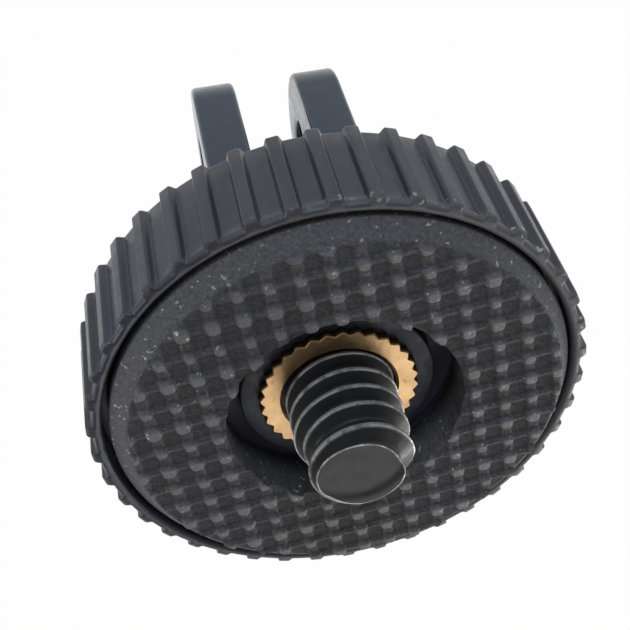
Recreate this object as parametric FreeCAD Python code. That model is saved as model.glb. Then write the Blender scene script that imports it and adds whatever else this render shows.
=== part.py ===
"""Thread adapter for an action camera: a forked plastic disc with a rubber pad, a brass insert and a steel stud.

Units are millimetres. The stud's axis is Z and points out of the pad; Z = 0 is the plane of the pad's bump tops.
The fork points down -Z and its pivot hole runs along X.
"""
import FreeCAD
import Part
import math
import os

# disc with the ribbed rim
RIM_R = 14.15            # over the ribs
VALLEY_R = 13.75         # between the ribs
RIM_BACK_Z = -7.40
RIM_FACE_Z = -0.95       # where the ribs end, pad side
RIB_COUNT = 42
RIB_TOP_W = 0.98
RIB_FOOT_W = 1.22
RIB_PHASE = 3.27         # degrees
RIB_END = 0.30           # chamfer at the ribs' ends
LIP_TOP_R = 13.62        # the smooth lip inside the ribs' ends
LIP_INNER_R = 13.38
LIP_INNER_Z = -1.50
BACK_CHAMFER = 0.35

# recess for the pad and the raised boss round the insert
SEAT_Z = -2.95
GROOVE_Z = -3.70
BOSS_R = 5.60
BOSS_Z = -2.42
BOSS_EDGE = 0.12

# rubber pad
PAD_X = 0.08             # the pad is glued in a little off centre
PAD_R = 12.85
PAD_SHOULDER_Z = -1.10
FIELD_R = 12.00          # bumped field, at the plane of the bump tops
FIELD_X = 0.15
HOLE_R = 6.72
BUMP_PITCH = 1.60
BUMP_FOOT = 1.00
BUMP_TOP = 0.58
BUMP_H = 0.40
GRID_TURN = 6.5          # degrees
GRID_X = 8.95
GRID_Y = 0.165

# brass insert with its knurl
INSERT_TIP_R = 4.58
INSERT_ROOT_R = 4.25
INSERT_TEETH = 32
INSERT_PHASE = 6.55      # degrees
INSERT_TOP_Z = -1.92
INSERT_BOTTOM_Z = -6.60
INSERT_MOUTH_R = 3.42
INSERT_MOUTH_DEPTH = 0.30

# steel stud, drawn at its major diameter
STUD_R = 3.15
STUD_ENGAGED_R = 2.90    # inside the insert, at the thread's middle diameter
STUD_SHOULDER_Z = -1.80  # just clear of the insert's face
STUD_TOP_Z = 3.95
STUD_BOTTOM_Z = -6.30

# fork
PRONG_T = 2.93
GAP = 4.15
TIP_R = 5.85
PIVOT_Z = -25.25
PIVOT_R = 2.55
ROOT_Z = -17.20
ROOT_FILLET = 0.8
EDGE_CHAMFER = 0.25

Z_AXIS = FreeCAD.Vector(0, 0, 1)
X_AXIS = FreeCAD.Vector(1, 0, 0)
ORIGIN = FreeCAD.Vector(0, 0, 0)


def v(x, y, z):
    return FreeCAD.Vector(x, y, z)


def cylinder(radius, low, high, x=0.0):
    return Part.makeCylinder(radius, high - low, v(x, 0, low), Z_AXIS)


def polygon(points):
    return Part.makePolygon([v(*p) for p in points + points[:1]])


def turned(profile):
    """A solid of revolution about Z from (radius, z) pairs."""
    face = Part.Face(polygon([(r, 0, z) for r, z in profile]))
    return face.revolve(ORIGIN, Z_AXIS, 360)


def flat_sided(lower, upper):
    """A solid with flat faces between two outlines of as many corners, one above the other."""
    count = len(lower)
    faces = [Part.Face(polygon(lower)), Part.Face(polygon(upper))]
    for i in range(count):
        j = (i + 1) % count
        faces.append(Part.Face(polygon([lower[i], lower[j], upper[j], upper[i]])))
    return Part.makeSolid(Part.makeShell(faces))


def frustum(foot, top, low, high):
    """A square frustum about Z, foot and top being the full widths."""
    corners = ((-0.5, -0.5), (0.5, -0.5), (0.5, 0.5), (-0.5, 0.5))
    return flat_sided([(foot * x, foot * y, low) for x, y in corners], [(top * x, top * y, high) for x, y in corners])


def placed(shape, x, y, turn):
    copy = shape.copy()
    copy.rotate(ORIGIN, Z_AXIS, turn)
    copy.translate(v(x, y, 0))
    return copy


def rib():
    """One rib of the rim, at azimuth 0, with sloped sides and chamfered ends."""
    inner = LIP_TOP_R
    foot = VALLEY_R - 0.02
    section = polygon([(inner, -RIB_FOOT_W / 2, RIM_BACK_Z), (foot, -RIB_FOOT_W / 2, RIM_BACK_Z),
                       (RIM_R, -RIB_TOP_W / 2, RIM_BACK_Z), (RIM_R, RIB_TOP_W / 2, RIM_BACK_Z),
                       (foot, RIB_FOOT_W / 2, RIM_BACK_Z), (inner, RIB_FOOT_W / 2, RIM_BACK_Z)])
    body = Part.Face(section).extrude(v(0, 0, RIM_FACE_Z - RIM_BACK_Z))
    side = polygon([(inner - 1, -2, RIM_BACK_Z), (RIM_R - BACK_CHAMFER, -2, RIM_BACK_Z),
                    (RIM_R, -2, RIM_BACK_Z + BACK_CHAMFER), (RIM_R, -2, RIM_FACE_Z - RIB_END),
                    (RIM_R - RIB_END, -2, RIM_FACE_Z), (inner - 1, -2, RIM_FACE_Z)])
    return body.common(Part.Face(side).extrude(v(0, 4, 0)))


def disc():
    """The turned part of the moulding: rim, lip, recess, groove and boss."""
    profile = [(0, RIM_BACK_Z), (VALLEY_R - BACK_CHAMFER, RIM_BACK_Z), (VALLEY_R, RIM_BACK_Z + BACK_CHAMFER),
               (VALLEY_R, RIM_FACE_Z), (LIP_TOP_R, RIM_FACE_Z),
               (LIP_INNER_R + 0.06, RIM_FACE_Z - 0.22), (LIP_INNER_R, LIP_INNER_Z), (LIP_INNER_R, SEAT_Z),
               (HOLE_R + 0.25, SEAT_Z), (HOLE_R + 0.25, GROOVE_Z), (BOSS_R, GROOVE_Z),
               (BOSS_R, BOSS_Z - BOSS_EDGE), (BOSS_R - BOSS_EDGE, BOSS_Z), (0, BOSS_Z)]
    return turned(profile)


def ribbed_disc():
    one = rib()
    ribs = [placed(one, 0, 0, RIB_PHASE + 360.0 * i / RIB_COUNT) for i in range(RIB_COUNT)]
    return disc().fuse(ribs)


def fork():
    """Two prongs on a block, their tips full round, their outer edges chamfered."""
    half = PRONG_T + GAP / 2
    depth = TIP_R
    plate = Part.makeBox(2 * half, 2 * depth, RIM_BACK_Z + 0.6 - PIVOT_Z, v(-half, -depth, PIVOT_Z))
    tip = Part.makeCylinder(TIP_R, 2 * half, v(-half, 0, PIVOT_Z), X_AXIS)
    solid = plate.fuse(tip).removeSplitter()
    slot = Part.makeBox(GAP, 4 * depth, ROOT_Z - PIVOT_Z + 2 * TIP_R, v(-GAP / 2, -2 * depth, PIVOT_Z - 2 * TIP_R))
    root = [e for e in slot.Edges
            if abs(e.CenterOfMass.z - ROOT_Z) < 0.01 and abs(abs(e.CenterOfMass.x) - GAP / 2) < 0.01]
    slot = slot.makeFillet(ROOT_FILLET, root)
    solid = solid.cut(slot)
    edges = []
    for e in solid.Edges:
        c = e.CenterOfMass
        along = e.BoundBox.XLength < 0.01
        if abs(abs(c.x) - half) < 0.01 and along and c.z < ROOT_Z - 0.5:
            edges.append(e)
    solid = solid.makeChamfer(EDGE_CHAMFER, edges)
    pivot = Part.makeCylinder(PIVOT_R, 4 * half, v(-2 * half, 0, PIVOT_Z), X_AXIS)
    return solid.cut(pivot)


def knurled_insert():
    """The brass insert, its V teeth running down its whole length."""
    points = []
    for i in range(INSERT_TEETH):
        for part, radius in ((0.0, INSERT_TIP_R), (0.5, INSERT_ROOT_R)):
            angle = math.radians(INSERT_PHASE + 360.0 * (i + part) / INSERT_TEETH)
            points.append((radius * math.cos(angle), radius * math.sin(angle), INSERT_BOTTOM_Z))
    body = Part.Face(polygon(points)).extrude(v(0, 0, INSERT_TOP_Z - INSERT_BOTTOM_Z))
    bore = cylinder(STUD_ENGAGED_R, INSERT_BOTTOM_Z - 1, INSERT_TOP_Z + 1)
    mouth = Part.makeCone(STUD_R, INSERT_MOUTH_R, INSERT_MOUTH_DEPTH, v(0, 0, INSERT_TOP_Z - INSERT_MOUTH_DEPTH), Z_AXIS)
    return body.cut(bore.fuse(mouth)), body


def pad():
    """The rubber pad: a sloped edge, a plain hole and a field of bumps on a turned square grid."""
    base = turned([(0, SEAT_Z), (PAD_R, SEAT_Z), (PAD_R, PAD_SHOULDER_Z), (0, PAD_SHOULDER_Z)])
    base.translate(v(PAD_X, 0, 0))
    low = Part.Wire([Part.makeCircle(PAD_R, v(PAD_X, 0, PAD_SHOULDER_Z), Z_AXIS)])
    high = Part.Wire([Part.makeCircle(FIELD_R, v(PAD_X + FIELD_X, 0, 0), Z_AXIS)])
    cone = Part.makeLoft([low, high], True, True)
    below = Part.makeBox(40, 40, -BUMP_H - PAD_SHOULDER_Z + 1, v(-20, -20, PAD_SHOULDER_Z - 1))
    flank = cone.common(below)
    low_z = -BUMP_H - 0.1
    turn = math.radians(GRID_TURN)
    along = v(math.cos(turn), math.sin(turn), 0) * BUMP_PITCH
    across = v(-math.sin(turn), math.cos(turn), 0) * BUMP_PITCH
    grow = (BUMP_FOOT - BUMP_TOP) / BUMP_H * 0.1
    one = frustum(BUMP_FOOT + grow, BUMP_TOP, low_z, 0)
    reach = math.ceil((FIELD_R + GRID_X) / BUMP_PITCH)
    bumps = []
    for i in range(-reach, reach + 1):
        for j in range(-reach, reach + 1):
            place = v(GRID_X, GRID_Y, 0) + along * i + across * j
            r = math.hypot(place.x - PAD_X - FIELD_X, place.y)
            if HOLE_R - BUMP_FOOT * 0.6 < r < FIELD_R + BUMP_FOOT * 0.45:
                bumps.append(placed(one, place.x, place.y, GRID_TURN))
    relief = bumps[0].fuse(bumps[1:])
    relief = relief.common(cone)
    solid = base.fuse([flank, relief]).removeSplitter()
    return solid.cut(cylinder(HOLE_R, SEAT_Z - 1, 1, PAD_X))


def main():
    os.makedirs("parts", exist_ok=True)
    insert, plug = knurled_insert()
    free = cylinder(STUD_R, STUD_SHOULDER_Z, STUD_TOP_Z)
    stud = free.fuse(cylinder(STUD_ENGAGED_R, STUD_BOTTOM_Z, STUD_SHOULDER_Z))
    body = ribbed_disc().fuse(fork()).removeSplitter()
    body = body.cut(plug)
    shapes = {"adapter_body": body, "rubber_pad": pad(), "brass_insert": insert, "threaded_stud": stud}
    for name, shape in shapes.items():
        solids = shape.Solids
        if len(solids) != 1:
            raise RuntimeError("%s has %d solids" % (name, len(solids)))
        solid = solids[0]
        if not solid.isValid():
            raise RuntimeError("%s isn't a valid solid" % name)
        solid.exportStep("parts/%s.step" % name)
        print(name, "volume", round(solid.Volume, 2), "faces", len(solid.Faces))


main()
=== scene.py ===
"""Thread adapter for an action camera, dressed for rendering.

Sizes are millimetres, and meshes are written in metres. The stud's axis is Z, the pad's bump tops are at
Z = 0, and the fork points down -Z with its pivot along X.
"""

import bmesh
import bpy
import math
import numpy as np
from bpy.props import FloatProperty, FloatVectorProperty, IntProperty, PointerProperty
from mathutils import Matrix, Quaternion, Vector


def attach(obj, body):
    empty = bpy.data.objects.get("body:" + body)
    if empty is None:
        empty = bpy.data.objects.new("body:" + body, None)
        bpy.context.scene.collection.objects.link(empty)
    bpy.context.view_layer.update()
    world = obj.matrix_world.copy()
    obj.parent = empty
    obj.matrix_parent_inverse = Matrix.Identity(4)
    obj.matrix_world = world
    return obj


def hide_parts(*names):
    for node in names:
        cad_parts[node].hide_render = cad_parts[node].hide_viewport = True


bl_info = {
    "name": "Thread adapter",
    "version": (1, 0, 0),
    "blender": (4, 5, 0),
    "location": "View3D > Sidebar > Adapter",
    "description": "Builds the looks of a forked thread adapter round its CAD frame",
    "category": "Object",
}

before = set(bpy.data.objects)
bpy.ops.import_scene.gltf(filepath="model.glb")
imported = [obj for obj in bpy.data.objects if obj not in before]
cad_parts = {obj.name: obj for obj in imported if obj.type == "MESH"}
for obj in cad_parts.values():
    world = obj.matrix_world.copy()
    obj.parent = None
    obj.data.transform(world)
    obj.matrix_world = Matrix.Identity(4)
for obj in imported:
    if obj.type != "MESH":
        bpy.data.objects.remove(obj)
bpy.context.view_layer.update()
MM = 0.001
TAU = 2 * math.pi

# how far the fork reaches up into the disc
OVERLAP = 1.0

# steps of (radius, height): from the disc's back edge, then from its face in a valley, on a rib and at the
# lip
BACK_EDGE = ((-0.16, 0), (-0.08, 0.02), (-0.025, 0.06), (0, 0.14))
VALLEY_END = (
    (0, -0.85), (0.01, -0.72), (0.03, -0.58), (0.06, -0.44),
    (0.07, -0.31), (0.04, -0.18), (-0.02, -0.07),
)
RIB_END = (
    (0, -0.40), (-0.01, -0.28), (-0.04, -0.19), (-0.10, -0.12),
    (-0.18, -0.07), (-0.27, -0.035), (-0.39, -0.015),
)
LIP = ((0, 0), (-0.16, -0.02), (-0.29, -0.09), (-0.38, -0.22), (-0.41, -0.55))

# half the width of a rib's top and of its foot, and the places across it where the rim has points
RIB_TOP = 0.27
RIB_FOOT = 0.58
RIB_STEPS = (0.0, 0.14, 0.24, 0.28, 0.32, 0.36, 0.40, 0.44, 0.48, 0.52, 0.55, 0.58, 0.61, 0.78)

# rounding of the pivot hole's edge: step in radius and depth
HOLE_EDGE = ((0, 0.15), (0.03, 0.05), (0.12, 0.0))

# the pad's foot and the rings of its outer edge, as steps of (radius, height) from the shoulder
PAD_FOOT = -2.93
PAD_EDGE = ((-0.02, -0.02), (0.0, -0.10), (0.0, -0.6))

# the thread's crest near the cut end: degrees along it from the end, and how far it lies below full height
CREST_DROPS = (
    (-700, 0.0), (-535, 0.0), (-505, 0.12), (-484, 0.22), (-460, 0.44), (-415, 0.48),
    (-365, 0.30), (-320, 0.02), (-290, 0.02), (-266, 0.22), (-245, 0.32),
    (-110, 0.36), (-60, 0.46), (0, 0.50), (60, 0.58), (400, 0.60),
)
# places across one turn of the thread, in pitches from a crest
CREST_STEPS = (0.0, 0.035, 0.058, 0.07, 0.085, 0.11, 0.15, 0.2, 0.26, 0.32, 0.38, 0.44)
# the bevel of the cut end: inset, depth and wear of each ring, then the rings inside it as shares of the
# radius
END_BEVEL = ((0.0, 0.045, 1.0), (0.012, 0.018, 1.0), (0.05, 0.0, 1.0), (0.11, 0.0, 0.0))
END_RINGS = (0.9, 0.82, 0.74, 0.66, 0.58, 0.5, 0.42, 0.3, 0.15, 0.0)

# lamps: name, place in metres, size, power and colour
LAMPS = (
    ("key", (0.10, -0.29, 0.24), 0.30, 0.40, (1, 0.99, 0.97)),
    ("back", (0.02, 0.34, 0.10), 0.20, 0.34, (0.50, 0.74, 1.0)),
    ("side", (0.186, -0.222, 0.078), 0.07, 0.20, (1, 0.97, 0.94)),
    ("left", (-0.36, 0.02, 0.10), 0.20, 0.30, (1, 0.97, 0.97)),
)
FLOOR_HALF = 0.9
FLOOR_HEIGHT = -0.075
CAMERA_PLACE = (-6.9968, 47.3302, 42.6819)
CAMERA_TURN = (0.928535, -0.358205, -0.076039, -0.061075)
CAMERA_LENS = 66.299
RANGE = ("From Min", "From Max", "To Min", "To Max")


# mesh helpers


def grid_faces(rows, cols, wrap_rows=False, wrap_cols=False):
    """Quads of a rows by cols grid of points numbered row by row, joined round where asked."""
    r = np.arange(rows if wrap_rows else rows - 1)
    c = np.arange(cols if wrap_cols else cols - 1)
    a, b = np.meshgrid(r, c, indexing="ij")
    a2 = (a + 1) % rows
    b2 = (b + 1) % cols
    return np.stack([a * cols + b, a * cols + b2, a2 * cols + b2, a2 * cols + b], -1).reshape(-1, 4)


def joined(*surfaces):
    """Several surfaces as one. Each is its points and then one or more arrays of faces."""
    points = []
    faces = []
    start = 0
    for own, *groups in surfaces:
        points.append(own)
        for group in groups:
            faces += (group + start).tolist()
        start += len(own)
    return np.concatenate(points), faces


def make_mesh(name, points, faces):
    """A smooth mesh object from an array of points in millimetres and a list of faces."""
    mesh = bpy.data.meshes.new(name)
    mesh.from_pydata((points * MM).tolist(), [], faces)
    mesh.validate()
    obj = bpy.data.objects.new(name, mesh)
    bpy.context.scene.collection.objects.link(obj)
    mesh.shade_smooth()
    mesh.update()
    return obj


def store(obj, name, values):
    """Keeps a number for every vertex under a name that the materials read."""
    layer = obj.data.attributes.new(name, "FLOAT", "POINT")
    layer.data.foreach_set("value", np.asarray(values, dtype=np.float32))


def merge_doubles(obj):
    """Joins doubled points and drops faces of no size."""
    bm = bmesh.new()
    bm.from_mesh(obj.data)
    bmesh.ops.remove_doubles(bm, verts=bm.verts, dist=0.002 * MM)
    bmesh.ops.dissolve_degenerate(bm, edges=bm.edges, dist=0.001 * MM)
    bm.to_mesh(obj.data)
    bm.free()


def smoothstep(x):
    """3x^2 - 2x^3, with x held between 0 and 1."""
    x = np.clip(x, 0, 1)
    return x * x * (3 - 2 * x)


def arc(centre, radius, start, end, count):
    """Points of a circle's arc in a plane, the angles in degrees."""
    a = np.radians(np.linspace(start, end, count))
    return np.stack([centre[0] + radius * np.cos(a), centre[1] + radius * np.sin(a)], 1)


def ring_at(ring, radius, height):
    """Unit directions times a radius, at a height. Either may differ round the ring."""
    return np.column_stack([ring * np.reshape(radius, (-1, 1)), np.broadcast_to(height, len(ring))])


# sizes and colours of the pieces

class MouldingSizes(bpy.types.PropertyGroup):
    """The moulding, in millimetres"""
    rim_radius: FloatProperty(name="Rim radius", description="Radius over the ribs", default=14.15)
    valley_radius: FloatProperty(name="Valley radius", description="Radius between the ribs", default=13.75)
    back: FloatProperty(name="Back", description="Height of the disc's back face", default=-7.40)
    face: FloatProperty(name="Face", description="Height where the ribs end", default=-0.95)
    ribs: IntProperty(name="Ribs", description="Number of ribs round the rim", default=42)
    rib_phase: FloatProperty(name="Rib phase", description="First rib's azimuth in degrees", default=3.27)
    lip_top: FloatProperty(name="Lip top", description="Radius of the lip's top", default=13.62)
    lip_inner: FloatProperty(name="Lip inside", description="Radius of the recess for the pad", default=13.38)
    seat: FloatProperty(name="Seat", description="Height of the face under the pad", default=-2.95)
    groove: FloatProperty(name="Groove", description="Height of the groove's floor", default=-3.70)
    groove_radius: FloatProperty(name="Groove radius", description="Outer radius of the groove", default=6.97)
    boss_radius: FloatProperty(name="Boss radius", description="Radius of the raised boss", default=5.60)
    boss_top: FloatProperty(name="Boss top", description="Height of the boss's top", default=-2.42)
    prong: FloatProperty(name="Prong", description="Thickness of each prong", default=2.93)
    gap: FloatProperty(name="Gap", description="Gap between the prongs", default=4.15)
    tip_radius: FloatProperty(name="Tip radius", description="Radius of the prongs' round tips", default=5.85)
    pivot: FloatProperty(name="Pivot", description="Height of the pivot hole", default=-25.25)
    pivot_radius: FloatProperty(name="Pivot radius", description="Radius of the pivot hole", default=2.55)
    root: FloatProperty(name="Root", description="Height of the gap's root", default=-17.20)
    fillet: FloatProperty(name="Fillet", description="Fillet at both ends of the gap's root", default=0.8)
    edge: FloatProperty(name="Edge", description="Rounding of the prongs' edges", default=0.32)
    colour: FloatVectorProperty(
        name="Colour", description="Black plastic", subtype="COLOR", default=(0.026, 0.028, 0.043))


class PadSizes(bpy.types.PropertyGroup):
    """The pad, in millimetres"""
    offset: FloatProperty(name="Offset", description="How far the pad sits off centre", default=0.08)
    radius: FloatProperty(name="Radius", description="Outer radius", default=12.94)
    shoulder: FloatProperty(name="Shoulder", description="Height of the outer shoulder", default=-1.10)
    field: FloatProperty(name="Field", description="Radius of the bumped field", default=12.0)
    field_offset: FloatProperty(name="Field offset", description="The field's shift along X", default=0.15)
    field_drop: FloatProperty(name="Field drop", description="The field's shift along Y", default=-0.36)
    hole: FloatProperty(name="Hole", description="Radius of the middle hole", default=6.72)
    pitch: FloatProperty(name="Pitch", description="Spacing of the bumps", default=1.60)
    height: FloatProperty(name="Bump height", description="Height of the bumps", default=0.42)
    turn: FloatProperty(name="Turn", description="Turn of the grid in degrees", default=6.5)
    grid_x: FloatProperty(name="Grid X", description="A bump's place along X", default=8.95)
    grid_y: FloatProperty(name="Grid Y", description="A bump's place along Y", default=0.165)
    colour: FloatVectorProperty(
        name="Colour", description="Dark grey rubber", subtype="COLOR", default=(0.100, 0.098, 0.104))


class InsertSizes(bpy.types.PropertyGroup):
    """The insert, in millimetres"""
    tip: FloatProperty(name="Tip", description="Radius at the teeth's tips", default=4.58)
    root: FloatProperty(name="Root", description="Radius between the teeth", default=4.34)
    teeth: IntProperty(name="Teeth", description="Number of teeth", default=32)
    phase: FloatProperty(name="Phase", description="Azimuth of the first tooth in degrees", default=6.55)
    top: FloatProperty(name="Top", description="Height of the top face", default=-1.92)
    bottom: FloatProperty(name="Bottom", description="Height of the lower end", default=-6.60)
    mouth: FloatProperty(name="Mouth", description="Radius of the hole's mouth", default=3.42)
    bore: FloatProperty(name="Bore", description="Radius of the hole round the stud", default=3.16)
    colour: FloatVectorProperty(
        name="Colour", description="Brass", subtype="COLOR", default=(0.57, 0.375, 0.195))


class StudSizes(bpy.types.PropertyGroup):
    """The stud, in millimetres"""
    radius: FloatProperty(name="Radius", description="Radius over the thread's crests", default=3.15)
    root: FloatProperty(name="Root", description="Radius at the thread's root", default=2.42)
    pitch: FloatProperty(name="Pitch", description="Pitch of the thread", default=1.27)
    top: FloatProperty(name="Top", description="Height of the cut end", default=3.95)
    bottom: FloatProperty(name="Bottom", description="Height of the lower end", default=-6.30)
    dip: FloatProperty(name="Dip", description="How far the cut end lies below its raised side", default=0.12)
    phase: FloatProperty(name="Phase", description="Azimuth in degrees where a crest ends", default=-74.5)
    colour: FloatVectorProperty(
        name="Colour", description="Black steel", subtype="COLOR", default=(0.012, 0.012, 0.013))


# the moulding: disc and fork

def rib_weight(theta, s):
    """From 0 in a valley to 1 on a rib, as a function of azimuth. The distance from the nearest rib's middle
    is scaled to run from 1 at its top's edge to 0 at its foot. The mean of that and its smoothstep is then
    smoothed again."""
    pitch = TAU / s.ribs
    off = np.abs((theta - math.radians(s.rib_phase) + pitch / 2) % pitch - pitch / 2) * s.rim_radius
    x = np.clip((RIB_FOOT - off) / (RIB_FOOT - RIB_TOP), 0, 1)
    return smoothstep(smoothstep(x) * 0.5 + x * 0.5)


def rib_angles(s):
    """Azimuths that crowd at the ribs' sides."""
    steps = np.array(RIB_STEPS) / s.rim_radius
    half = np.concatenate([-steps[:0:-1], steps])
    centres = math.radians(s.rib_phase) + TAU / s.ribs * np.arange(s.ribs)
    return (centres[:, None] + half[None]).ravel()


def disc_profiles(s):
    """The disc's section in a valley and on a rib, as two arrays of (radius, height) that match point by
    point: out over the back, up the rim, over the lip, down the recess and the groove, and in over the boss."""
    back, face, boss = s.back, s.face, s.boss_radius
    bevel = 0.05
    boss_edge = 0.12

    def outer(radius, end):
        side = [(radius, back + 1.5), (radius, (back + face) / 2), (radius, face - 1.2)]
        return np.concatenate([np.add((radius, back), BACK_EDGE), side, np.add((radius, face), end)])

    start = [(0.0, back), (6.0, back), (12.5, back)]
    recess = [
        (s.lip_inner, s.seat + bevel), (s.lip_inner - bevel, s.seat),
        (s.groove_radius + bevel, s.seat), (s.groove_radius, s.seat - bevel),
        (s.groove_radius, s.groove + bevel), (s.groove_radius - 0.07, s.groove),
        (boss + bevel, s.groove), (boss, s.groove + bevel), (boss, s.boss_top - 0.14),
    ]
    rounding = arc((boss - boss_edge, s.boss_top - boss_edge), boss_edge, 0, 90, 5)
    top = [(radius, s.boss_top) for radius in (5.0, 4.5, 2.0, 0.0)]
    inner = np.concatenate([np.add((s.lip_top, face), LIP), recess, rounding, top])
    valley = np.concatenate([start, outer(s.valley_radius, VALLEY_END), inner])
    rib = np.concatenate([start, outer(s.rim_radius, RIB_END), inner])
    return valley, rib


def disc_surface(s):
    """A turned surface. Its section blends from the valley's to the rib's with the azimuth's rib weight."""
    theta = rib_angles(s)
    valley, rib = disc_profiles(s)
    w = rib_weight(theta, s)[:, None]
    radius = valley[None, :, 0] * (1 - w) + rib[None, :, 0] * w
    height = valley[None, :, 1] * (1 - w) + rib[None, :, 1] * w
    points = np.stack([radius * np.cos(theta)[:, None], radius * np.sin(theta)[:, None], height], -1)
    rows, cols = points.shape[:2]
    return points.reshape(-1, 3), grid_faces(rows, cols, wrap_rows=True)[:, ::-1]


def prong_surface(s, x_in, x_out):
    """A plate with a pivot hole, as a closed loop of rings round the hole: from its wall over the inner face,
    round the edge by a quarter circle, and the same mirrored on the outer face. A ring's points lie on rays
    from the hole's middle to the outline, which is a half circle under a rectangle that ends in the disc."""
    top = s.back + OVERLAP
    tip = s.tip_radius
    centre = np.array([0, s.pivot])
    below = arc((0, 0), 1, 180, 360, 97)
    count = 14
    up = np.linspace(s.pivot, top, count + 1)
    over = np.linspace(tip, -tip, count + 1)[1:-1]
    outline = np.concatenate([
        centre + tip * below,
        np.column_stack([np.full(count, tip), up[1:]]),
        np.column_stack([over, np.full(count - 1, top)]),
        np.column_stack([np.full(count, -tip), up[:0:-1]]),
    ])
    straight = np.repeat([(1, 0), (0, 1), (-1, 0)], (count, count - 1, count), axis=0)
    normal = np.concatenate([below, straight])
    ray = outline - centre
    ray = ray / np.linalg.norm(ray, axis=1, keepdims=True)

    steps, depths = np.array(HOLE_EDGE).T
    share = np.array([0.35, 0.7, 1.0])[:, None, None]
    turn = np.radians(np.linspace(0, 90, 7))[1:, None, None]
    hole = centre + ray * (s.pivot_radius + steps)[:, None, None]
    inset = outline - normal * s.edge
    rings = np.concatenate([
        hole,
        hole[-1] * (1 - share) + inset * share,
        outline - normal * s.edge * (1 - np.sin(turn)),
    ])
    depths = np.concatenate([depths, np.zeros(len(share)), s.edge * (1 - np.cos(turn)).ravel()])
    rings = np.concatenate([rings, rings[::-1]])
    side = 1 if x_out > x_in else -1
    x = x_in + side * np.concatenate([depths, abs(x_out - x_in) - depths[::-1]])
    rows, cols = rings.shape[:2]
    points = np.concatenate([np.broadcast_to(x[:, None, None], (rows, cols, 1)), rings], -1)
    faces = grid_faces(rows, cols, wrap_rows=True, wrap_cols=True)
    if side < 0:
        faces = faces[:, ::-1]
    return points.reshape(-1, 3), faces


def web_surface(s):
    """The block between the prongs, as sections along Y with a face at both ends. A section has a flat top,
    and below it the gap's root: a line that curves down at both ends by a quarter circle. The outer sections'
    lower side rises by a quarter circle too, which rounds its edges."""
    half = s.gap / 2 + s.edge
    top = s.back + OVERLAP
    fillet = s.fillet
    foot = s.root - fillet
    section = np.concatenate([
        [(-half, foot)],
        arc((fillet - s.gap / 2, foot), fillet, 180, 90, 9),
        arc((s.gap / 2 - fillet, foot), fillet, 90, 0, 9),
        [(half, foot), (half, top), (-half, top)],
    ])
    lower = np.append(np.ones(len(section) - 2), (0, 0))
    turn = np.radians(np.linspace(0, 90, 7))
    y = s.tip_radius - s.edge * (1 - np.cos(turn))
    lift = s.edge * (1 - np.sin(turn))
    y = np.concatenate([y, -y[::-1]])
    lift = np.concatenate([lift, lift[::-1]])
    rows, cols = len(y), len(section)
    x = np.broadcast_to(section[:, 0], (rows, cols))
    z = section[:, 1] + lift[:, None] * lower
    points = np.stack([x, np.broadcast_to(y[:, None], (rows, cols)), z], -1)
    ends = np.stack([np.arange(cols)[::-1], np.arange((rows - 1) * cols, rows * cols)])
    return points.reshape(-1, 3), grid_faces(rows, cols, wrap_cols=True), ends


# the pad

def ridge(distance, height, half, slope):
    """The height at a distance from a ridge's middle: a smoothstep from 0 at the half width to full."""
    return height * smoothstep((half - distance) / slope)


def bump_height(x, y, s):
    """Rounded square bumps at the nodes of a turned grid, joined by broad ridges along Y and thin ones along
    X. A bump's outline is where the sum of the cubes of both distances from its node is constant, and its
    half width varies by up to a tenth from node to node. The height is the highest of the three."""
    half, slope, uneven = 0.54, 0.28, 0.10
    turn = math.radians(s.turn)
    dx, dy = x - s.grid_x, y - s.grid_y
    u = (dx * math.cos(turn) + dy * math.sin(turn)) / s.pitch
    v = (-dx * math.sin(turn) + dy * math.cos(turn)) / s.pitch
    vary = 1 + uneven * np.sin(12.9 * np.round(u) + 78.2 * np.round(v))
    u = np.abs(u - np.round(u)) * s.pitch
    v = np.abs(v - np.round(v)) * s.pitch
    far = (u ** 3 + v ** 3) ** (1 / 3)
    bump = ridge(far, s.height, half * vary, slope)
    broad = ridge(u, 0.13, 0.38, 0.14)
    thin = ridge(v, 0.11, 0.34, 0.13) + ridge(v, 0.09, 0.10, 0.08)
    return np.maximum(bump, np.maximum(broad, thin))


def pad_surface(s):
    """Rings from the hole's foot up its wall, over the bumped field and down the sloped edge to the foot. A
    ring's middle moves from the pad's to the field's and back by its share, and the bumps fade out at the
    field's edge."""
    around, across = 1000, 78
    theta = np.linspace(0, TAU, around, endpoint=False)
    ring = np.stack([np.cos(theta), np.sin(theta)], 1)
    pit = -s.height
    edge = s.field + 0.22
    slope_top = (edge + 0.12, pit - 0.07)
    fade = 0.10
    rows = []

    def middle(share):
        return np.array([s.offset + share * s.field_offset, share * s.field_drop])

    def row(radius, z, share):
        rows.append(ring_at(ring, radius, z) + (*middle(share), 0))

    def bumps(radius, share):
        x, y = (middle(share) + radius * ring).T
        return bump_height(x, y, s)

    mouth = pit + bumps(s.hole, 0)
    for z in (PAD_FOOT, -1.6, mouth - 0.10, mouth - 0.03):
        row(s.hole, z, 0)
    for radius in np.linspace(s.hole, edge, across)[1:]:
        share = (radius - s.hole) / (edge - s.hole)
        row(radius, pit + bumps(radius, share) * smoothstep((edge - radius) / fade), share)
    row(edge + 0.03, pit - 0.01, 1)
    row(*slope_top, 1)
    for f in (0.25, 0.5, 0.75, 0.93):
        radius, z = np.array(slope_top) * (1 - f) + np.array([s.radius, s.shoulder]) * f
        row(radius, z, 1 - f)
    for out, up in PAD_EDGE:
        row(s.radius + out, s.shoulder + up, 0)
    row(s.radius, PAD_FOOT, 0)
    points = np.array(rows)
    n, m = points.shape[:2]
    return points.reshape(-1, 3), grid_faces(n, m, wrap_rows=True, wrap_cols=True)[:, ::-1]


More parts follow.
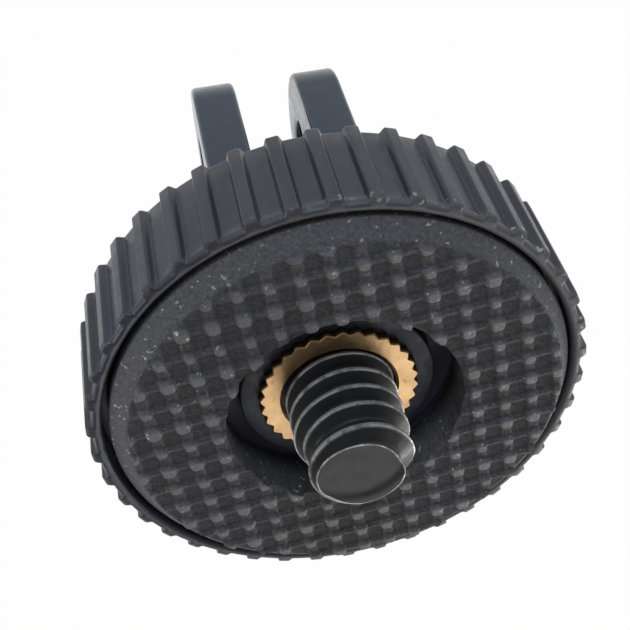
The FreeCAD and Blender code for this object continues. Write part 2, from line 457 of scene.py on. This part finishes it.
def pad_rise(points, s):
    """0 in the pits and 1 on the bumps' tops, and 0.75 on the plain edge and the walls."""
    plain = 0.75
    rise = np.clip(1 + points[:, 2] / s.height, 0, 1)
    radius = np.hypot(points[:, 0] - s.offset - s.field_offset, points[:, 1] - s.field_drop)
    rise = np.maximum(rise, plain * smoothstep((radius - s.field - 0.1) / 0.2))
    return np.where(points[:, 2] < -s.height - 0.05, np.maximum(rise, plain), rise)


# the insert

def insert_surface(s):
    """Rings round the axis: up the bore, over the chamfered mouth and the flat top, and down the V-toothed
    side. Between root and tip the side follows half a triangle wave of the azimuth and half its smoothstep."""
    per_tooth = 8
    count = s.teeth * per_tooth
    theta = math.radians(s.phase) + TAU * np.arange(count) / count
    ring = np.stack([np.cos(theta), np.sin(theta)], 1)
    wave = np.abs((np.arange(count) % per_tooth) / per_tooth * 2 - 1)
    wave = 0.5 * wave + 0.5 * smoothstep(wave)
    side = s.root + (s.tip - s.root) * wave
    throat = s.mouth - 0.12
    bevel = 0.07
    rings = (
        (s.bore, s.bottom), (s.bore, s.top - 0.60), (throat, s.top - 0.50), (throat, s.top - 0.13),
        (s.mouth - 0.02, s.top - 0.02), (s.mouth, s.top), (3.9, s.top),
        (side - bevel, s.top), (side, s.top - bevel), (side, s.top - 1.2), (side, s.bottom),
    )
    points = np.array([ring_at(ring, radius, z) for radius, z in rings])
    n, m = points.shape[:2]
    return points.reshape(-1, 3), grid_faces(n, m, wrap_rows=True, wrap_cols=True)[:, ::-1]


# the stud

def thread_radius(height, azimuth, s):
    """The radius of a single-start 60 degree thread, and its crest's radius there: the highest of the
    neighbouring crests' flanks, and of the rounded root between them, which is deeper near the cut end.
    Azimuth is in degrees, and the crest's middle leaves the end at the phase."""
    flank_share = 0.92
    end_depth = 0.42
    flat = s.pitch / 16
    crest_z = s.top - flat + (azimuth - s.phase) / 360 * s.pitch
    nearest = np.floor((height - crest_z) / s.pitch)
    best = np.zeros_like(height)
    crest = np.zeros_like(height)
    for k in (nearest, nearest + 1):
        drop = np.interp(360 * k + azimuth - s.phase, *zip(*CREST_DROPS))
        away = np.abs(height - crest_z - k * s.pitch)
        flank = s.radius - flank_share * drop - np.maximum(away - flat, 0) * math.sqrt(3)
        crest = np.where(flank > best, s.radius - drop, crest)
        best = np.maximum(best, np.minimum(flank, s.radius - drop))
    root = s.root - end_depth * smoothstep((height - s.top + 1.3) / 1.2)
    soft = 0.05
    return root + soft * np.logaddexp(0, (best - root) / soft), crest


def end_dip(points, s):
    """How far below the top the cut end lies at (x, y): the same inside a circle whose centre is moved away
    from the -72 degree side, and a smooth step up to nothing outside it, which leaves a crescent there."""
    side = math.radians(-72)
    shift, inner, step = 0.9, 2.55, 0.55
    away = np.hypot(points[..., 0] + shift * math.cos(side), points[..., 1] + shift * math.sin(side))
    return s.dip * (1 - smoothstep((away - inner) / step))


def stud_surface(s):
    """A right-hand screw surface: rows follow the helix, and rows past the ends are held at the ends'
    heights. Rings towards the axis close both ends, with a bevel at the cut one. Also gives each point's wear,
    highest on the crests."""
    theta = np.linspace(0, TAU, 301)
    azimuth = np.degrees(theta)[None]
    ring = np.stack([np.cos(theta), np.sin(theta)], -1)
    half = np.array(CREST_STEPS)
    stops = np.concatenate([-half[:0:-1], half, [0.5]])
    turns = int(math.ceil((s.top - s.bottom) / s.pitch)) + 2
    along = (np.arange(-turns, 2)[:, None] + stops[None]).ravel()
    wall_top = s.top - END_BEVEL[0][1]
    end_radius = thread_radius(wall_top + 0 * azimuth, azimuth, s)[0]
    z = s.top - s.pitch / 16 + along[:, None] * s.pitch + (azimuth - s.phase) / 360 * s.pitch
    z = np.clip(z, s.bottom, wall_top - end_dip(end_radius[0][:, None] * ring, s)[None])
    radius, crest = thread_radius(z, azimuth + 0 * z, s)
    points = np.concatenate([radius[..., None] * ring[None], z[..., None]], -1)
    rows, cols = points.shape[:2]
    wear = [(smoothstep((radius - crest + 0.11) / 0.09) * (z > s.bottom)).ravel()]
    edge = radius[-1]
    cap = []
    for inset, down, worn in END_BEVEL:
        place = (edge - inset)[:, None] * ring
        cap.append(np.column_stack([place, z[-1] if inset == 0 else s.top - down - end_dip(place, s)]))
        wear.append(np.full(cols, worn))
    for f in END_RINGS:
        place = (edge * f)[:, None] * ring
        cap.append(np.column_stack([place, s.top - end_dip(place, s)]))
    low = [ring_at(ring, radius[0] * f, z[0]) for f in (1.0, 0.9, 0.0)]
    wear.append(np.zeros((len(END_RINGS) + len(low)) * cols))
    points, faces = joined(
        (points.reshape(-1, 3), grid_faces(rows, cols)),
        (np.concatenate(cap), grid_faces(len(cap), cols)),
        (np.concatenate(low), grid_faces(len(low), cols)[:, ::-1]),
    )
    return points, faces, np.concatenate(wear)


# materials

def scaled(colour, factor):
    """A colour made lighter or darker, its parts held to 1."""
    return tuple(min(part * factor, 1) for part in colour)


class Nodes:
    """Short ways to add and link the shader nodes of one material."""

    def __init__(self, name):
        self.material = bpy.data.materials.new(name)
        self.material.use_nodes = True
        self.tree = self.material.node_tree
        self.shader = self.tree.nodes["Principled BSDF"]
        self.place = self.add("ShaderNodeTexCoord").outputs["Object"]

    def add(self, kind, **values):
        node = self.tree.nodes.new(kind)
        for key, value in values.items():
            setattr(node, key, value)
        return node

    def link(self, source, target):
        self.tree.links.new(source, target)

    def put(self, value, socket):
        """Links another node's output to a socket, or sets a plain value on it."""
        if hasattr(value, "links"):
            self.link(value, socket)
        else:
            socket.default_value = value

    def stored(self, name):
        return self.add("ShaderNodeAttribute", attribute_name=name).outputs["Fac"]

    def axis(self, name):
        split = self.add("ShaderNodeSeparateXYZ")
        self.link(self.place, split.inputs["Vector"])
        return split.outputs[name]

    def maths(self, operation, one, two):
        node = self.add("ShaderNodeMath", operation=operation)
        self.put(one, node.inputs[0])
        self.put(two, node.inputs[1])
        return node.outputs["Value"]

    def plus(self, one, two):
        return self.maths("ADD", one, two)

    def times(self, one, two):
        return self.maths("MULTIPLY", one, two)

    def noise(self, scale, detail=3.0, rough=0.5, stretch=(1, 1, 1)):
        mapping = self.add("ShaderNodeMapping")
        mapping.inputs["Scale"].default_value = stretch
        self.link(self.place, mapping.inputs["Vector"])
        node = self.add("ShaderNodeTexNoise")
        node.inputs["Scale"].default_value = scale
        node.inputs["Detail"].default_value = detail
        node.inputs["Roughness"].default_value = rough
        self.link(mapping.outputs["Vector"], node.inputs["Vector"])
        return node.outputs["Fac"]

    def ranged(self, value, *numbers):
        """Maps a range of the value to another: low, high, and what each of them becomes."""
        node = self.add("ShaderNodeMapRange")
        self.link(value, node.inputs["Value"])
        for key, number in zip(RANGE, numbers):
            node.inputs[key].default_value = number
        return node.outputs["Result"]

    def blend(self, factor, one, two):
        """One colour where the factor is 0, two where it is 1."""
        node = self.add("ShaderNodeMix", data_type="RGBA")
        self.link(factor, node.inputs["Factor"])
        for name, value in (("A", one), ("B", two)):
            socket = [i for i in node.inputs if i.name == name and i.type == "RGBA"][0]
            self.put((*value, 1) if isinstance(value, tuple) else value, socket)
        return [o for o in node.outputs if o.type == "RGBA"][0]

    def bump(self, height, strength, distance):
        node = self.add("ShaderNodeBump")
        node.inputs["Strength"].default_value = strength
        node.inputs["Distance"].default_value = distance
        self.link(height, node.inputs["Height"])
        return node.outputs["Normal"]

    def set(self, **values):
        for key, value in values.items():
            self.put(value, self.shader.inputs[key.replace("_", " ")])


def plastic(colour):
    """Black plastic: streaks along the axis, scuffs near the face with painted light that grows towards the +X
    side, painted glints on the rib ends mostly on the +X side, painted light in the groove round the boss, and
    a blue-grey tint on the fork below the disc's back that is a painted sky reflection."""
    # scuff colours near the face, which the mask below lifts towards the +X side as painted light
    scuff_sheen_dark, scuff_sheen_light = (0.045, 0.045, 0.050), (0.095, 0.094, 0.100)
    # blue-grey tint of the fork, a painted sky reflection
    fork_sky_tint_dark, fork_sky_tint_light = (0.004, 0.018, 0.040), (0.006, 0.024, 0.050)
    # painted light for the groove round the boss, and the colour of the painted glints
    dust_and_painted_light, glint_colour = (0.060, 0.054, 0.085), (0.34, 0.34, 0.34)
    n = Nodes("black_plastic")
    cloud = n.noise(260, 3)
    fine = n.noise(2600, 2)
    streak = n.noise(900, 3, 0.6, (1, 1, 0.12))
    x = n.axis("X")
    y = n.axis("Y")
    z = n.axis("Z")
    squared = n.plus(n.times(x, x), n.times(y, y))
    inside = n.ranged(squared, 0.0071 ** 2, 0.0073 ** 2, 1, 0)
    outer = n.ranged(squared, 0.01372 ** 2, 0.01386 ** 2, 0, 1)
    down = n.ranged(z, -0.00742, -0.00760, 0, 1)
    # painted light that lifts the shade in the groove round the boss
    groove_painted_light = n.times(n.ranged(z, -0.00275, -0.00295, 0, 1), inside)
    recess = n.times(inside, n.ranged(z, -0.0045, -0.0040, 0, 0.20))
    # scuffs near the face, with painted light that grows towards the +X side
    scuff_and_sheen = n.times(n.ranged(z, -0.00155, -0.00115, 0, 1), n.ranged(x, -0.009, 0.006, 0.1, 1))
    # painted glints on the rib ends near the face, mostly on the +X side
    painted_glints = n.times(n.ranged(n.noise(2300, 3, 0.6), 0.57, 0.64, 0, 1), n.ranged(x, -0.003, 0.006, 0.1, 0.9))
    painted_glints = n.times(n.times(painted_glints, outer), n.ranged(z, -0.00175, -0.0014, 0, 1))
    disc = n.blend(cloud, scaled(colour, 0.80), scaled(colour, 1.20))
    disc = n.blend(n.ranged(streak, 0.35, 0.65, 0, 0.55), disc, scaled(colour, 0.45))
    disc = n.blend(scuff_and_sheen, disc, n.blend(fine, scuff_sheen_dark, scuff_sheen_light))
    disc = n.blend(groove_painted_light, disc, dust_and_painted_light)
    disc = n.blend(painted_glints, disc, glint_colour)
    # below the disc's back the fork takes the painted sky reflection tint
    base = n.blend(down, disc, n.blend(cloud, fork_sky_tint_dark, fork_sky_tint_light))
    rough = n.plus(n.ranged(fine, 0.3, 0.7, 0.26, 0.38), n.ranged(streak, 0.3, 0.7, -0.06, 0.08))
    rough = n.plus(rough, n.times(scuff_and_sheen, 0.10))
    rough = n.plus(rough, recess)
    rough = n.maths("SUBTRACT", rough, n.times(down, 0.14))
    grain = n.bump(n.plus(n.noise(330, 3), n.times(streak, 0.25)), 0.4, 0.00012)
    n.set(Base_Color=base, Roughness=rough, IOR=1.42, Normal=grain)
    return n.material


def rubber(colour):
    """Dark grey rubber: painted shade in the pits, lighter and smoother on the bumps, whose tops are lighter
    still from wear and a painted highlight, with fine grain and a few light specks in patches."""
    speck = (0.45, 0.45, 0.44)
    n = Nodes("grey_rubber")
    cloud = n.noise(170, 4)
    dust_and_painted_light = n.ranged(n.noise(5200, 2), 0.35, 0.65, 0, 1)
    spark = n.ranged(n.noise(3000, 2, 0.5), 0.65, 0.70, 0, 1)
    patch = n.ranged(n.noise(95, 2), 0.45, 0.6, 0.4, 1)
    stored = n.stored("rise")
    rise = n.ranged(stored, 0.05, 0.85, 0, 1)
    base = n.blend(cloud, scaled(colour, 0.85), scaled(colour, 1.2))
    base = n.blend(dust_and_painted_light, scaled(colour, 0.62), base)
    # painted shade in the pits
    pit = n.blend(dust_and_painted_light, scaled(colour, 0.33), scaled(colour, 0.62))
    base = n.blend(rise, pit, base)
    # bump tops lighter from wear together with a painted highlight
    base = n.blend(n.ranged(stored, 0.80, 1.0, 0, 0.4), base, scaled(colour, 1.45))
    base = n.blend(n.times(n.times(spark, rise), patch), base, speck)
    grain = n.bump(n.noise(7500, 3, 0.65), 0.8, 0.00007)
    n.set(Base_Color=base, Roughness=n.ranged(rise, 0, 1, 0.80, 0.42), IOR=1.45, Normal=grain)
    return n.material


def brass(colour):
    """Turned brass with dark specks, and painted shade below its top face."""
    speck_colour, bore_shade = (0.33, 0.17, 0.07), (0.10, 0.055, 0.025)
    n = Nodes("turned_brass")
    fine = n.noise(900, 3)
    speck = n.ranged(n.noise(2300, 2), 0.66, 0.72, 0, 0.6)
    base = n.blend(fine, scaled(colour, 0.88), scaled(colour, 1.1))
    base = n.blend(speck, base, speck_colour)
    # painted shade below the top face, where the bore lies in shadow
    base = n.blend(n.ranged(n.axis("Z"), -0.00240, -0.00205, 1, 0), base, bore_shade)
    grain = n.bump(n.noise(2500, 3), 0.35, 0.00005)
    n.set(Base_Color=base, Metallic=1.0, Roughness=n.ranged(fine, 0.3, 0.7, 0.34, 0.48), Normal=grain)
    return n.material


def black_steel(colour):
    """Blackened steel, worn to bare metal in patches along the thread's crests and the end's edge."""
    bare = (0.58, 0.57, 0.55)
    n = Nodes("black_steel")
    fine = n.noise(1300, 3)
    base = n.blend(fine, scaled(colour, 0.7), scaled(colour, 1.4))
    scratched = n.times(n.stored("wear"), n.ranged(n.noise(900, 3, 0.7), 0.38, 0.58, 0.25, 1))
    base = n.blend(scratched, base, bare)
    metal = n.ranged(scratched, 0, 1, 0.0, 0.9)
    rough = n.ranged(fine, 0.3, 0.7, 0.33, 0.46)
    grain = n.bump(n.noise(1800, 3), 0.25, 0.00004)
    n.set(Base_Color=base, Metallic=metal, IOR=1.34, Roughness=rough, Normal=grain)
    return n.material


def floor_material():
    """White to the camera and in reflections, with a little of its own shading left in, and matt for the
    rest."""
    n = Nodes("white_floor")
    n.set(Base_Color=(0.8, 0.8, 0.8, 1), Roughness=0.9)
    light = n.add("ShaderNodeLightPath")
    seen = n.maths("MAXIMUM", light.outputs["Is Camera Ray"], light.outputs["Is Glossy Ray"])
    seen = n.maths("MAXIMUM", seen, light.outputs["Is Transmission Ray"])
    glow = n.add("ShaderNodeEmission")
    glow.inputs["Color"].default_value = (1, 1, 1, 1)
    mix = n.add("ShaderNodeMixShader")
    n.link(n.times(seen, 0.97), mix.inputs["Fac"])
    n.link(n.shader.outputs["BSDF"], mix.inputs[1])
    n.link(glow.outputs["Emission"], mix.inputs[2])
    n.link(mix.outputs["Shader"], n.tree.nodes["Material Output"].inputs["Surface"])
    return n.material


def surroundings():
    """A white horizon under a darker ceiling."""
    world = bpy.data.worlds.new("surroundings")
    world.use_nodes = True
    tree = world.node_tree
    back = tree.nodes["Background"]
    place = tree.nodes.new("ShaderNodeTexCoord")
    split = tree.nodes.new("ShaderNodeSeparateXYZ")
    ranged = tree.nodes.new("ShaderNodeMapRange")
    ranged.interpolation_type = "SMOOTHSTEP"
    tree.links.new(place.outputs["Generated"], split.inputs["Vector"])
    tree.links.new(split.outputs["Z"], ranged.inputs["Value"])
    for key, number in zip(RANGE, (0.18, 0.55, 1.0, 0.30)):
        ranged.inputs[key].default_value = number
    tree.links.new(ranged.outputs["Result"], back.inputs["Strength"])
    back.inputs["Color"].default_value = (1, 1, 1, 1)
    return world


def add_lamp(scene, name, place, size, power, colour):
    """A round area lamp that faces the origin."""
    data = bpy.data.lights.new(name, "AREA")
    data.shape = "DISK"
    data.size = size
    data.energy = power
    data.color = colour
    obj = bpy.data.objects.new(name, data)
    obj.location = place
    obj.rotation_mode = "QUATERNION"
    obj.rotation_quaternion = Vector(place).to_track_quat("Z", "Y")
    scene.collection.objects.link(obj)


def add_floor(scene):
    """A square under the fork's tips."""
    mesh = bpy.data.meshes.new("floor")
    signs = ((-1, -1), (1, -1), (1, 1), (-1, 1))
    corners = [(x * FLOOR_HALF, y * FLOOR_HALF, FLOOR_HEIGHT) for x, y in signs]
    mesh.from_pydata(corners, [], [(0, 1, 2, 3)])
    floor = bpy.data.objects.new("floor", mesh)
    scene.collection.objects.link(floor)
    floor.data.materials.append(floor_material())


def add_camera(scene):
    """The photograph's view."""
    data = bpy.data.cameras.new("view")
    data.lens = CAMERA_LENS
    data.sensor_width = 36
    data.clip_start = 0.005
    camera = bpy.data.objects.new("view", data)
    camera.location = Vector(CAMERA_PLACE) * MM
    camera.rotation_mode = "QUATERNION"
    camera.rotation_quaternion = Quaternion(CAMERA_TURN)
    scene.collection.objects.link(camera)
    scene.camera = camera


# operators

def finish_piece(obj, material, node, sharp_angle=None):
    """Marks edges over an angle in degrees as sharp, adds the material, hangs the piece under the root body and
    hides the CAD node that it replaces.
    """
    if sharp_angle is not None:
        obj.data.set_sharp_from_angle(angle=math.radians(sharp_angle))
    obj.data.materials.append(material)
    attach(obj, "root")
    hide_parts(node)
    return {"FINISHED"}


class AddMoulding(bpy.types.Operator):
    """Add the ribbed disc and its fork"""
    bl_idname = "adapter.add_moulding"
    bl_label = "Moulding"

    def execute(self, context):
        s = context.scene.adapter_moulding
        half = s.gap / 2
        right = prong_surface(s, half, half + s.prong)
        left = prong_surface(s, -half, -half - s.prong)
        obj = make_mesh("moulding", *joined(disc_surface(s), right, left, web_surface(s)))
        merge_doubles(obj)
        return finish_piece(obj, plastic(tuple(s.colour)), "adapter_body", 40)


class AddPad(bpy.types.Operator):
    """Add the rubber pad"""
    bl_idname = "adapter.add_pad"
    bl_label = "Rubber pad"

    def execute(self, context):
        s = context.scene.adapter_pad
        points, faces = pad_surface(s)
        obj = make_mesh("pad", points, faces.tolist())
        store(obj, "rise", pad_rise(points, s))
        return finish_piece(obj, rubber(tuple(s.colour)), "rubber_pad")


class AddInsert(bpy.types.Operator):
    """Add the knurled insert"""
    bl_idname = "adapter.add_insert"
    bl_label = "Knurled insert"

    def execute(self, context):
        s = context.scene.adapter_insert
        points, faces = insert_surface(s)
        obj = make_mesh("insert", points, faces.tolist())
        return finish_piece(obj, brass(tuple(s.colour)), "brass_insert", 30)


class AddStud(bpy.types.Operator):
    """Add the threaded stud"""
    bl_idname = "adapter.add_stud"
    bl_label = "Threaded stud"

    def execute(self, context):
        s = context.scene.adapter_stud
        points, faces, worn = stud_surface(s)
        obj = make_mesh("stud", points, faces)
        store(obj, "wear", worn)
        merge_doubles(obj)
        return finish_piece(obj, black_steel(tuple(s.colour)), "threaded_stud", 28)


class AddStage(bpy.types.Operator):
    """Add the floor, the lamps, the surroundings and the camera"""
    bl_idname = "adapter.add_stage"
    bl_label = "Stage"

    def execute(self, context):
        scene = context.scene
        scene.view_settings.view_transform = "Standard"
        add_floor(scene)
        scene.world = surroundings()
        for values in LAMPS:
            add_lamp(scene, *values)
        add_camera(scene)
        return {"FINISHED"}


class AdapterPanel(bpy.types.Panel):
    """Buttons for the adapter's pieces"""
    bl_label = "Thread adapter"
    bl_idname = "VIEW3D_PT_adapter"
    bl_space_type = "VIEW_3D"
    bl_region_type = "UI"
    bl_category = "Adapter"

    def draw(self, context):
        for operator in OPERATORS:
            self.layout.operator(operator.bl_idname)


GROUPS = {
    "adapter_moulding": MouldingSizes,
    "adapter_pad": PadSizes,
    "adapter_insert": InsertSizes,
    "adapter_stud": StudSizes,
}
OPERATORS = (AddMoulding, AddPad, AddInsert, AddStud, AddStage)


def register():
    for cls in (*GROUPS.values(), *OPERATORS, AdapterPanel):
        bpy.utils.register_class(cls)
    for name, cls in GROUPS.items():
        setattr(bpy.types.Scene, name, PointerProperty(type=cls))


def unregister():
    for name in GROUPS:
        delattr(bpy.types.Scene, name)
    for cls in (AdapterPanel, *reversed(OPERATORS), *reversed(GROUPS.values())):
        bpy.utils.unregister_class(cls)


def main():
    register()
    bpy.ops.adapter.add_moulding()
    bpy.ops.adapter.add_pad()
    bpy.ops.adapter.add_insert()
    bpy.ops.adapter.add_stud()
    bpy.ops.adapter.add_stage()


if __name__ == "__main__":
    main()
